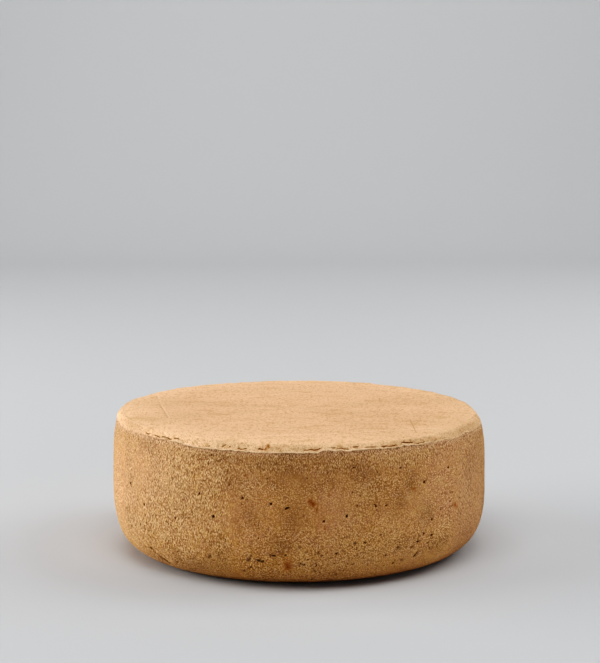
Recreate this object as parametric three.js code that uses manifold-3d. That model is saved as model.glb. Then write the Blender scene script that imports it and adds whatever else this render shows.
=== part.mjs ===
// A whole wheel of natural-rind mountain cheese.
//
// Millimetres, +Z up, origin at the middle of the flat underside. The wheel is one
// upright drum of cheese: a flat foot, a wide soft lower corner, a bulging side, a thin
// rim where the two halves of the mould met, and a nearly flat top face. It sagged a
// little on its shelf, so it is thicker towards -X than towards +X.

import * as THREE from 'three';
import Module from 'manifold-3d';
import { mergeVertices } from 'three/addons/utils/BufferGeometryUtils.js';

// Driving dimensions
const wheelRadius = 125;
const footRadius = 86.4;
const beltHeight = 45;
const rimRadius = 121.9;
const rimHeight = 88.8;
const rimUnderside = 1.2;
const shoulderRadius = 118.9;
const shoulderRise = 3.7;
const crownRise = 5.0;

// How the outline bends
const footCurve = 2.88;
const sideCurve = 3.9;
const leanShare = 0.0174;

// Rings of the top face: how far in from the shoulder, and how far up to the crown
const crownRings = [
  { inward: 7, share: 0.6 },
  { inward: 20, share: 0.9 },
  { inward: 46.9, share: 1 },
  { inward: 80.9, share: 1 },
];

// How finely the wheel is faceted
const columnCount = 160;
const cornerSteps = 9;
const sideSteps = 5;

// The rim: a thin raised edge, with a split above it where the crust parted.
// Its rings are given by how far out from the rim radius and how far up from the rim height.
const rimLip = 0.48;
const splitHeight = 1.1;
const splitDepth = 1.3;
const splitHalf = 0.35;
const rimRings = [
  { outward: rimLip, upward: -0.12 },
  { outward: 0.2, upward: 0.48 },
  { outward: -0.62, upward: splitHeight },
  { outward: -1.05, upward: 1.75 },
];

// Places round the rim, in degrees, with its height there above or below the even rim.
// It wanders, and jumps where the edges of the cloth lay over each other.
const rimLevels = [
  [0, -1.3], [8, -0.9], [12, 0.3], [28, 0.5], [45, -0.2], [61, -0.7], [64, 0.8], [80, 0.4],
  [102, 0.9], [105, -0.8], [125, -0.4], [150, 0.3], [157, -0.2], [160, 1.0], [178, 0.5],
  [195, -0.6], [205, -0.7], [211, -0.4], [217, 0.3], [222, 1.0], [227, 0.9], [232.5, 0.2],
  [235.5, -1.4], [244, -1.5], [248, -1.0], [253, -1.6], [259, -1.6], [263, -1.2], [269, -0.9],
  [275, -0.7], [277, 1.1], [282, 0.6], [293, 0.6], [300.8, -0.3], [302.2, 0.9], [305, 0.2],
  [309, -0.3], [315, 0.0], [323, -0.9], [327, -0.6], [331, 0.8], [342, -0.4], [350, -1.5],
  [360, -1.3],
];

// Places round the rim, with how much of its raised edge is left there, from 0 to 1
const lipShares = [
  [0, 0.35], [20, 0.6], [50, 0.9], [85, 0.25], [110, 0.8], [150, 0.9], [180, 0.3], [203, 0.1],
  [211, 0.75], [220, 0.95], [262, 0.85], [270, 1], [335, 1], [347, 0.45], [360, 0.35],
];

// Splits above the rim: middle, half length in degrees and how open, each closing towards
// its ends from this share of its half length on
const splitTaper = 0.55;
const splits = [
  { degrees: 217.5, half: 2.4, open: 0.9 },
  { degrees: 234.8, half: 2.4, open: 1.0 },
  { degrees: 249.0, half: 3.0, open: 1.0 },
  { degrees: 256.0, half: 2.4, open: 0.8 },
  { degrees: 265.0, half: 3.4, open: 0.4 },
  { degrees: 283.0, half: 4.6, open: 0.6 },
  { degrees: 292.5, half: 4.6, open: 0.5 },
  { degrees: 303.0, half: 3.4, open: 0.8 },
  { degrees: 317.5, half: 4.0, open: 0.9 },
  { degrees: 332.0, half: 2.4, open: 0.4 },
  { degrees: 353.0, half: 3.2, open: 0.5 },
  { degrees: 11.0, half: 3.4, open: 0.8 },
  { degrees: 25.5, half: 5.4, open: 0.6 },
  { degrees: 46.5, half: 2.8, open: 0.9 },
  { degrees: 62.0, half: 4.2, open: 0.7 },
  { degrees: 101.5, half: 6.4, open: 0.8 },
  { degrees: 121.0, half: 3.2, open: 0.5 },
  { degrees: 156.0, half: 6.0, open: 0.6 },
  { degrees: 174.5, half: 3.6, open: 0.5 },
  { degrees: 190.0, half: 3.2, open: 0.4 },
];

// Swells and dents fade in above the foot, and the rim's wandering fades out within a band.
// Both fade out towards the middle of the wheel, by a power of the share of its radius.
const clearFoot = 16;
const swellPower = 3;
const rimPower = 6;
const rimBandMiddle = 0.6;
const rimBandHalf = 3.2;
const lipMiddle = 0.1;
const lipHalf = 0.8;

// Slow swells of the side and of the top: size in mm, waves round the wheel,
// turn with height in radians for each mm, and starting angle
const sideSwells = [
  { size: 0.24, waves: 4, climb: 0.010, start: 0.9 },
  { size: 0.20, waves: 7, climb: -0.045, start: 2.1 },
  { size: 0.16, waves: 12, climb: 0.070, start: 4.4 },
  { size: 0.12, waves: 19, climb: -0.120, start: 1.2 },
];
const topSwells = [
  { size: 0.40, waves: 2, climb: 0, start: 0.4 },
  { size: 0.22, waves: 5, climb: 0, start: 3.3 },
];

// Shallow thumb-wide dents: place, width, height and depth
const dents = [
  { degrees: 221, height: 13, width: 9, tall: 5, depth: 0.9 },
  { degrees: 302, height: 22, width: 12, tall: 9, depth: 0.7 },
  { degrees: 256, height: 20, width: 8, tall: 6, depth: 0.6 },
  { degrees: 336, height: 60, width: 14, tall: 16, depth: 0.6 },
  { degrees: 38, height: 34, width: 13, tall: 11, depth: 0.9 },
  { degrees: 84, height: 66, width: 16, tall: 12, depth: 0.7 },
  { degrees: 131, height: 25, width: 11, tall: 8, depth: 0.9 },
  { degrees: 172, height: 52, width: 13, tall: 15, depth: 0.7 },
];

// Pits in the rind: the ones with a known place, and the others drawn from a seed
const largePits = [
  { degrees: 209.8, height: 55.0, radius: 1.0 },
  { degrees: 244.8, height: 45.9, radius: 0.9 },
  { degrees: 240.3, height: 59.4, radius: 0.8 },
  { degrees: 255.2, height: 19.9, radius: 1.2 },
  { degrees: 262.0, height: 56.5, radius: 0.8 },
  { degrees: 266.8, height: 54.4, radius: 0.8 },
  { degrees: 276.2, height: 24.9, radius: 0.9 },
  { degrees: 289.0, height: 30.0, radius: 0.9 },
  { degrees: 305.0, height: 23.6, radius: 1.1 },
  { degrees: 302.5, height: 15.6, radius: 1.0 },
  { degrees: 309.0, height: 64.3, radius: 1.0 },
  { degrees: 312.2, height: 29.2, radius: 1.0 },
];
const strayPitCount = 58;
const strayPitSeed = 4127;
const smallestPit = 0.7;
const pitSpread = 0.5;
const pitSpreadPower = 3;
const lowestPit = 12;
const pitClimb = 62;
const pitClimbPower = 1.8;
const pitDepth = 0.95;
const pitWidth = 1.1;
const pitTall = 0.85;

function smoothStep(low, high, value) {
  const share = Math.min(Math.max((value - low) / (high - low), 0), 1);
  return share * share * (3 - 2 * share);
}

// Angle from one direction to another, between -180 and 180 degrees
function turnBetween(degrees, from) {
  return ((degrees - from + 540) % 360) - 180;
}

// Numbers from 0 to 1, the same each time for one seed
function seededDraws(seed) {
  let state = seed;
  return () => {
    state = (state * 16807) % 2147483647;
    return state / 2147483647;
  };
}

function sumSwells(swells, angle, height) {
  let total = 0;
  for (const swell of swells) {
    total += swell.size * Math.sin(swell.waves * angle + swell.climb * height + swell.start);
  }
  return total;
}

// Lower corner: from the edge of the foot up to the belt, on a flattened quarter ellipse
function lowerCorner() {
  const points = [];
  for (let step = 0; step <= cornerSteps; step += 1) {
    const turn = (step / cornerSteps) * Math.PI / 2;
    const out = Math.sin(turn) ** (2 / footCurve);
    const up = Math.abs(Math.cos(turn)) ** (2 / footCurve);
    points.push(new THREE.Vector2(
      footRadius + (wheelRadius - footRadius) * out,
      beltHeight * (1 - up),
    ));
  }
  return points;
}

// Side: from the belt up to just under the rim, pulling in faster near the top
function upperSide() {
  const points = [];
  const top = rimHeight - rimUnderside;
  for (let step = 1; step <= sideSteps; step += 1) {
    const share = step / sideSteps;
    points.push(new THREE.Vector2(
      wheelRadius - (wheelRadius - rimRadius) * share ** sideCurve,
      beltHeight + (top - beltHeight) * share,
    ));
  }
  return points;
}

// Rim and shoulder: the raised edge, the split above it, and the bevel up to the top face
function rimAndShoulder() {
  const points = rimRings.map((ring) => (
    new THREE.Vector2(rimRadius + ring.outward, rimHeight + ring.upward)
  ));
  return [...points, new THREE.Vector2(shoulderRadius, rimHeight + shoulderRise)];
}

// Top face: a low crown, a little rougher and lower towards the shoulder
function topFace() {
  const edge = rimHeight + shoulderRise;
  const climb = crownRise - shoulderRise;
  const points = crownRings.map((ring) => (
    new THREE.Vector2(shoulderRadius - ring.inward, edge + ring.share * climb)
  ));
  return [...points, new THREE.Vector2(0, edge + climb)];
}

function wheelOutline() {
  return [
    new THREE.Vector2(0, 0),
    ...lowerCorner(),
    ...upperSide(),
    ...rimAndShoulder(),
    ...topFace(),
  ];
}

// Value at one place of a list of places round the wheel, on straight lines between them
function valueRound(places, degrees) {
  for (let index = 1; index < places.length; index += 1) {
    const [from, low] = places[index - 1];
    const [to, high] = places[index];
    if (degrees <= to) {
      return low + (high - low) * (degrees - from) / (to - from);
    }
  }
  return places[places.length - 1][1];
}

// How open the split above the rim is, from 0 to 1
function splitOpening(degrees) {
  let opening = 0;
  for (const split of splits) {
    const away = Math.abs(turnBetween(degrees, split.degrees)) / split.half;
    opening = Math.max(opening, split.open * (1 - smoothStep(splitTaper, 1, away)));
  }
  return opening;
}

// 1 at the middle of a band of heights, falling off smoothly past its half width
function bandShare(height, middle, half) {
  return Math.exp(-(((height - middle) / half) ** 2));
}

function dentDepth(degrees, height) {
  let depth = 0;
  for (const dent of dents) {
    const across = turnBetween(degrees, dent.degrees) * Math.PI / 180 * wheelRadius / dent.width;
    const up = (height - dent.height) / dent.tall;
    depth += dent.depth * Math.exp(-(across * across + up * up));
  }
  return depth;
}

// Moves a point of the even wheel to its place on the uneven one
function shapePoint(point) {
  const radius = Math.hypot(point.x, point.y);
  const angle = Math.atan2(point.y, point.x);
  const degrees = (angle * 180 / Math.PI + 360) % 360;
  const height = point.z;
  const outward = radius / wheelRadius;
  const outermost = outward ** rimPower;

  const clearOfFoot = smoothStep(0, clearFoot, height);
  const onTop = smoothStep(rimHeight + splitHeight, rimHeight + shoulderRise, height);
  const nearRim = outermost * bandShare(height, rimHeight + rimBandMiddle, rimBandHalf);
  const nearLip = outermost * bandShare(height, rimHeight + lipMiddle, lipHalf);
  const inSplit = outermost * bandShare(height, rimHeight + splitHeight, splitHalf);
  const lipShare = valueRound(lipShares, degrees);

  let newRadius = radius;
  newRadius += outward ** swellPower * sumSwells(sideSwells, angle, height) * clearOfFoot;
  newRadius -= (1 - onTop) * dentDepth(degrees, height) * clearOfFoot;
  newRadius -= nearLip * rimLip * (1 - lipShare);
  newRadius -= inSplit * splitDepth * splitOpening(degrees) * lipShare;

  let newHeight = height;
  newHeight += nearRim * valueRound(rimLevels, degrees);
  newHeight += onTop * outward * sumSwells(topSwells, angle, 0);
  newHeight *= 1 - leanShare * Math.cos(angle) * outward;

  return new THREE.Vector3(newRadius * Math.cos(angle), newRadius * Math.sin(angle), newHeight);
}

// The even wheel is turned on a lathe, stood upright and then shaped point by point
function shapedWheel() {
  const even = new THREE.LatheGeometry(wheelOutline(), columnCount);
  even.deleteAttribute('normal');
  even.deleteAttribute('uv');
  even.rotateX(Math.PI / 2);
  const wheel = mergeVertices(even, 0.001);
  const place = wheel.getAttribute('position');
  const point = new THREE.Vector3();
  for (let index = 0; index < place.count; index += 1) {
    point.fromBufferAttribute(place, index);
    const moved = shapePoint(point);
    place.setXYZ(index, moved.x, moved.y, moved.z);
  }
  return centred(wheel);
}

// The middle of the wheel's box goes on the Z axis
function centred(geometry) {
  geometry.computeBoundingBox();
  const middle = geometry.boundingBox.getCenter(new THREE.Vector3());
  geometry.translate(-middle.x, -middle.y, -geometry.boundingBox.min.z);
  return geometry;
}

// Radius of the even outline at a height below the rim
function outlineRadius(height) {
  const outline = [...lowerCorner(), ...upperSide()];
  for (let index = 1; index < outline.length; index += 1) {
    const below = outline[index - 1];
    const above = outline[index];
    if (height <= above.y) {
      const share = (height - below.y) / (above.y - below.y);
      return below.x + (above.x - below.x) * share;
    }
  }
  return rimRadius;
}

function strayPits() {
  const draw = seededDraws(strayPitSeed);
  const pits = [];
  for (let index = 0; index < strayPitCount; index += 1) {
    pits.push({
      degrees: 360 * draw(),
      height: lowestPit + pitClimb * draw() ** pitClimbPower,
      radius: smallestPit + pitSpread * draw() ** pitSpreadPower,
    });
  }
  return pits;
}

// A plug that leaves one pit when it is cut away. It is turned about its outward axis by
// its own angle, so that no two pits are alike, and then flattened a little.
function pitPlug(pit) {
  const plug = mergeVertices(bare(new THREE.IcosahedronGeometry(pit.radius, 0)), 0.001);
  plug.rotateX(pit.degrees);
  plug.scale(pitDepth, pitWidth, pitTall);
  const even = new THREE.Vector3(outlineRadius(pit.height), 0, pit.height);
  even.applyAxisAngle(new THREE.Vector3(0, 0, 1), pit.degrees * Math.PI / 180);
  const surface = shapePoint(even);
  plug.rotateZ(pit.degrees * Math.PI / 180);
  plug.translate(surface.x, surface.y, surface.z);
  return plug;
}

function bare(geometry) {
  geometry.deleteAttribute('normal');
  geometry.deleteAttribute('uv');
  return geometry;
}

// Triangles with two corners on one point, as at the ends of a lathe, hold no area
function toSolid(geometry, wasm) {
  const corners = geometry.getIndex().array;
  const kept = [];
  for (let index = 0; index < corners.length; index += 3) {
    const [a, b, c] = corners.slice(index, index + 3);
    if (a !== b && b !== c && c !== a) {
      kept.push(a, b, c);
    }
  }
  return new wasm.Manifold(new wasm.Mesh({
    numProp: 3,
    vertProperties: new Float32Array(geometry.getAttribute('position').array),
    triVerts: new Uint32Array(kept),
  }));
}

function toGeometry(solid) {
  const mesh = solid.getMesh();
  const geometry = new THREE.BufferGeometry();
  geometry.setAttribute('position', new THREE.BufferAttribute(mesh.vertProperties, 3));
  geometry.setIndex(new THREE.BufferAttribute(mesh.triVerts, 1));
  geometry.computeVertexNormals();
  return geometry;
}

async function cheeseWheel() {
  const wasm = await Module();
  wasm.setup();
  let solid = toSolid(shapedWheel(), wasm);
  for (const pit of [...largePits, ...strayPits()]) {
    solid = solid.subtract(toSolid(pitPlug(pit), wasm));
  }
  const rind = new THREE.MeshStandardMaterial({ color: 0xc49a66, roughness: 0.9, metalness: 0 });
  const wheel = new THREE.Mesh(toGeometry(solid), rind);
  wheel.name = 'wheel';
  return wheel;
}

const model = new THREE.Group();
model.add(await cheeseWheel());

export default model;
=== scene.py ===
import itertools
import math

import bpy
import numpy as np
from mathutils import Matrix, Vector


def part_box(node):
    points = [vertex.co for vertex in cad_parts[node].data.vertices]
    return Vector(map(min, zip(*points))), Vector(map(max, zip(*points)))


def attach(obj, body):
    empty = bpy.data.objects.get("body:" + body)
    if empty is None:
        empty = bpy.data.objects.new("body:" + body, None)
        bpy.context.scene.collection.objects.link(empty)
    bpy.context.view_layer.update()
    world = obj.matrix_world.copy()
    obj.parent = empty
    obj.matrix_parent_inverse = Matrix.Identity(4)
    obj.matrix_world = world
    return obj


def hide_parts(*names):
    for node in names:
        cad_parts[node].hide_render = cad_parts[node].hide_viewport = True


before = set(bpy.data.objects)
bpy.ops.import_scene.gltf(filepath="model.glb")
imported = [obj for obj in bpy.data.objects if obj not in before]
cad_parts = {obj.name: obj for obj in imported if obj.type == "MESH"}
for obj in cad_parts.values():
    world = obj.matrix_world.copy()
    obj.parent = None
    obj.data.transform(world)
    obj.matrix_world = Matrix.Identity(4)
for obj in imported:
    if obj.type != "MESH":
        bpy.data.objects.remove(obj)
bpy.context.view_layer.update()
print("frame loaded:", ", ".join(sorted(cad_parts)))

mm = 0.001


def smoothStep(low, high, value):
    share = np.clip((value - low) / (high - low), 0.0, 1.0)
    return share * share * (3.0 - 2.0 * share)


def turnBetween(degrees, start):
    # from one direction to another, -180 to 180
    return (degrees - start + 540.0) % 360.0 - 180.0


def seededDraws(seed):
    state = seed
    while True:
        state = (state * 16807) % 2147483647
        yield state / 2147483647


def latticeNoise(points, size, seed):
    # smooth random field, -1 to 1, over cubes of one size; big odd numbers mix each corner's place
    cell = points / size + 0.37 * seed
    base = np.floor(cell).astype(np.int64)
    part = cell - base
    part = part * part * (3.0 - 2.0 * part)
    total = np.zeros(len(points))
    for corner in itertools.product((0, 1), repeat=3):
        key = base + np.array(corner)
        mixed = key[:, 0] * 73856093 ^ key[:, 1] * 19349663 ^ key[:, 2] * 83492791 ^ (seed * 40503)
        mixed = (mixed ^ (mixed >> 13)) * 1274126177 & 0x7FFFFFFF
        value = ((mixed >> 7) & 0xFFFF) / 32767.5 - 1.0
        weight = np.ones(len(points))
        for axis in range(3):
            weight = weight * (part[:, axis] if corner[axis] else 1.0 - part[:, axis])
        total += weight * value
    return total


def noiseSum(points, layers):
    # each layer has a cell size in mm, an amount and a seed
    return sum(amount * latticeNoise(points, size, seed) for size, amount, seed in layers)


def makeMesh(name, points, faces):
    mesh = bpy.data.meshes.new(name)
    mesh.from_pydata(points, [], faces)
    mesh.update()
    mesh.shade_smooth()
    return mesh


def addPiece(name, data):
    piece = bpy.data.objects.new(name, data)
    bpy.context.scene.collection.objects.link(piece)
    return piece


def makeMaterial(name, roughness, specular):
    material = bpy.data.materials.new(name)
    material.use_nodes = True
    shader = material.node_tree.nodes["Principled BSDF"]
    shader.inputs["Roughness"].default_value = roughness
    shader.inputs["Specular IOR Level"].default_value = specular
    return material, shader


# the pressed wheel's own form, in mm
wheelForm = {
    "radius": 125,            # at the belt, its widest ring
    "footRadius": 86.4,
    "beltHeight": 45,
    "rimRadius": 121.9,
    "rimHeight": 88.8,
    "shoulderRadius": 118.9,
    "shoulderRise": 3.7,
    "crownRise": 5,
    "crown": [(0, 0), (7, 0.6), (20, 0.9), (46.9, 1)],  # in from the shoulder, share of the rise
    "footCurve": 2.88,
    "sideCurve": 3.9,
    "lean": 0.0174,             # thicker towards -X
    "clearOfFoot": 16,          # swells and dents fade out below this
    # mm, waves round the wheel, how they turn with height, start
    "sideSwells": [
        (0.24, 4, 0.01, 0.9), (0.2, 7, -0.045, 2.1), (0.16, 12, 0.07, 4.4), (0.12, 19, -0.12, 1.2),
    ],
    "topSwells": [(0.4, 2, 0, 0.4), (0.22, 5, 0, 3.3)],
    # degrees, height, width, tall, depth
    "dents": [
        (221, 13, 9, 5, 0.9), (302, 22, 12, 9, 0.7), (256, 20, 8, 6, 0.6), (336, 60, 14, 16, 0.6),
        (38, 34, 13, 11, 0.9), (84, 66, 16, 12, 0.7), (131, 25, 11, 8, 0.9), (172, 52, 13, 15, 0.7),
    ],
    # low relief: cell size in mm and seed
    "crumbs": (1.7, 3),
    "crumbTall": 0.72,          # crumbs are drawn out upright by this much
    "pebbles": (3.4, 7),
    "lumps": [(14, 1, 9), (7, 0.5, 20)],
    # how far crumbs, pebbles and lumps stand out
    "sideRelief": (0.1, 0.05, 0.1),
    "bandRelief": (0.26, 0.13, 0.1),
    "topRelief": (0.03, 0.04, 0.09),
    "bareFoot": (0.5, 6),       # relief starts between these heights
}

# how fine the wheel's mesh is: points in a ring, and mm between rings
meshForm = {
    "columns": 656, "rimColumns": 1312, "fewestColumns": 41,
    "fullFootRing": 84, "fullTopRing": 100,     # rings inside these radii have fewer points
    "rowStep": 1.3, "topStep": 2.6, "footStep": 4, "footMargin": 2, "smallestRing": 1,
    "cornerSteps": 400, "sideSteps": 300,
}

# the rim: a thin lip of cloth-pressed crust, with cracks behind it
rimForm = {
    # the rim wanders, and jumps where the cloth overlapped: degrees, rise
    "levels": [
        (0, -1.3), (8, -0.9), (12, 0.3), (28, 0.5), (45, -0.2), (61, -0.7), (64, 0.8), (80, 0.4),
        (102, 0.9), (105, -0.8), (125, -0.4), (150, 0.3), (157, -0.2), (160, 1), (178, 0.5),
        (195, -0.6), (205, -0.7), (211, -0.4), (217, 0.3), (222, 1), (227, 0.9), (232.5, 0.2),
        (235.5, -1.4), (244, -1.5), (248, -1), (253, -1.6), (259, -1.6), (263, -1.2), (269, -0.9),
        (275, -0.7), (277, 1.1), (282, 0.6), (293, 0.6), (300.8, -0.3), (302.2, 0.9), (305, 0.2),
        (309, -0.3), (315, 0), (323, -0.9), (327, -0.6), (331, 0.8), (342, -0.4), (350, -1.5), (360, -1.3),
    ],
    # out and up from the rim's own radius and height
    "profile": [
        (0.03, -0.85), (0.08, -0.62), (0.19, -0.42), (0.25, -0.22), (0.14, 0), (-0.06, 0.22),
        (-0.27, 0.48), (-0.5, 0.8), (-0.78, 1.22), (-1.1, 1.7), (-1.5, 2.2), (-2.1, 2.85),
    ],
    # the same rows where the shoulder is round and has no lip
    "roundProfile": [
        (0, -0.85), (-0.06, -0.5), (-0.14, -0.15), (-0.25, 0.2), (-0.38, 0.5), (-0.55, 0.8),
        (-0.72, 1.05), (-0.92, 1.35), (-1.15, 1.65), (-1.42, 2), (-1.85, 2.4), (-2.4, 2.9),
    ],
    # how sharp the lip is: degrees, share
    "sharpness": [
        (0, 0.3), (20, 0.6), (50, 0.9), (85, 0.25), (110, 0.8), (150, 0.9), (180, 0.3), (205, 0.05),
        (211, 0.1), (217, 0.4), (222, 0.8), (230, 0.95), (262, 0.9), (270, 1), (306, 1),
        (316, 0.7), (333, 0.45), (347, 0.2), (360, 0.3),
    ],
    # degrees, half length in degrees, how far above the rim, how open
    "cracks": [
        (217.6, 1.8, 0.4, 1.2), (222, 2.6, 0.4, 1.3), (227, 2.8, 0.5, 1.2), (230.8, 1.3, 1.2, 1.3),
        (233.9, 1.5, 1.3, 0.6), (237.2, 0.7, 1.2, 0.6), (239.3, 0.7, 1.1, 0.5), (242.2, 1.2, 1.2, 0.7),
        (248.2, 1.7, 1.7, 1.2), (253.3, 1.8, 1.3, 1), (258.8, 1, 1.6, 1), (264.3, 1.1, 1.3, 0.5),
        (268.8, 1.4, 1.5, 0.5), (273.8, 3.6, 1.2, 0.8), (273.2, 3, 2, 0.6), (281.8, 3.5, 0.9, 0.7),
        (286.7, 1.1, 1.8, 1.3), (291.4, 2.6, 0.6, 0.8), (297.3, 3.3, 0.8, 0.9), (303.9, 2.6, 1.3, 1.2),
        (309, 2.4, 0.6, 0.8), (314, 2, 0.6, 0.7), (318.6, 1.5, 0.8, 0.6), (324.2, 1.6, 1.3, 0.4),
        (353, 3.2, 1.3, 0.6), (11, 3.4, 1.2, 0.9), (25.5, 5.4, 1.4, 0.7), (46.5, 2.8, 1.2, 1),
        (62, 4.2, 1.6, 0.8), (81.5, 1.8, 1.2, 0.6), (101.5, 6.4, 1.1, 0.9), (121, 3.2, 1.4, 0.6),
        (141, 2.2, 1.7, 0.9), (156, 6, 1.2, 0.7), (174.5, 3.6, 1.4, 0.6), (190, 3.2, 1.2, 0.5),
    ],
    "below": 1.2,               # where the side ends and the lip starts
    "crackTall": 0.24,
    "frayTall": 0.85,
    "crackDepth": 1,
    "facing": (0.8, 0.6),       # out and up
    "waveAbove": 0.6,           # the rim's waves are strongest this far above its height
    "waveTall": 3.2,
    "topFrom": 1,               # the top face begins this far above the rim's height
    # cell size in mm, amount, seed
    "wobble": [(8, 0.26, 21), (3.1, 0.34, 22), (1.6, 0.38, 24), (0.8, 0.22, 25)],
    "frayed": [(2.6, 0.26, 23), (1.1, 0.24, 26)],
    "crackWander": [(2.4, 0.34, 43), (1, 0.16, 44)],
    "crackGaps": [(2.9, 0.9, 41), (0.9, 0.5, 42)],
    "softEdge": (2.8, 1.4, 33),
    "bandEdge": (13, 5, 31),
    "crackWhole": 1.2,          # less of this leaves more gaps
    "crackEnd": (0.6, 1.1),
    # where the pale crust above the lip begins and is whole, and how far a soft rim moves that
    "lipEdge": (-0.52, -0.18),
    "softMove": (-1.3, 2.1),
    "lipMiddle": -0.02,
    "lipTall": 0.45,
    "underRelief": 0.6,
    # where each zone of colour begins and is full: radii on the top, heights on the side
    "bandInside": (84, 116),
    "bevelInside": (112, 117),
    "edgeInside": (114.5, 118.5),
    "edgeHeight": (87.6, 88.8),
    "underLip": (84.2, 87.4),
}


def sideOutline():
    # foot edge, flattened quarter ellipse up to the belt, then the side up to under the rim
    form = wheelForm
    turn = np.linspace(0.0, math.pi / 2, meshForm["cornerSteps"])
    out = np.sin(turn) ** (2 / form["footCurve"])
    up = np.abs(np.cos(turn)) ** (2 / form["footCurve"])
    cornerRadius = form["footRadius"] + (form["radius"] - form["footRadius"]) * out
    cornerHeight = form["beltHeight"] * (1 - up)
    share = np.linspace(0.0, 1.0, meshForm["sideSteps"])[1:]
    top = form["rimHeight"] - rimForm["below"]
    sideRadius = form["radius"] - (form["radius"] - form["rimRadius"]) * share ** form["sideCurve"]
    sideHeight = form["beltHeight"] + (top - form["beltHeight"]) * share
    radius = np.concatenate([cornerRadius, sideRadius])
    height = np.concatenate([cornerHeight, sideHeight])
    along = np.concatenate([[0.0], np.cumsum(np.hypot(np.diff(radius), np.diff(height)))])
    return radius, height, along


def topHeight(radius):
    form = wheelForm
    edge = form["rimHeight"] + form["shoulderRise"]
    crown = form["rimHeight"] + form["crownRise"]
    inward, share = zip(*form["crown"])
    return edge + (crown - edge) * np.interp(form["shoulderRadius"] - radius, inward, share)


def ringColumns(radius, fullFrom):
    columns = meshForm["columns"]
    while radius < fullFrom and columns > meshForm["fewestColumns"]:
        columns //= 2
        fullFrom /= 2
    return columns


def wheelRings():
    # one entry for each ring, from the middle of the foot to the middle of the top
    form = meshForm
    rings = []

    def addRing(zone, columns, radius=0.0, height=0.0, along=0.0, row=0):
        rings.append({"zone": zone, "columns": columns, "radius": radius, "height": height,
                      "along": along, "row": row})

    footEdge = wheelForm["footRadius"] - form["footMargin"]
    for radius in np.arange(form["footStep"], footEdge, form["footStep"]):
        addRing("foot", ringColumns(radius, form["fullFootRing"]), radius=radius)
    along = sideOutline()[2]
    for place in np.linspace(0.0, along[-1], int(along[-1] / form["rowStep"])):
        addRing("side", form["columns"], along=place)
    for row in range(len(rimForm["profile"])):
        addRing("rim", form["rimColumns"], row=row)
    radius = wheelForm["shoulderRadius"]
    while radius > form["smallestRing"]:
        columns = ringColumns(radius, form["fullTopRing"])
        addRing("top", columns, radius=radius, height=float(topHeight(radius)))
        radius -= form["rowStep"] if radius > form["fullTopRing"] else form["topStep"]
    return rings


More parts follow.
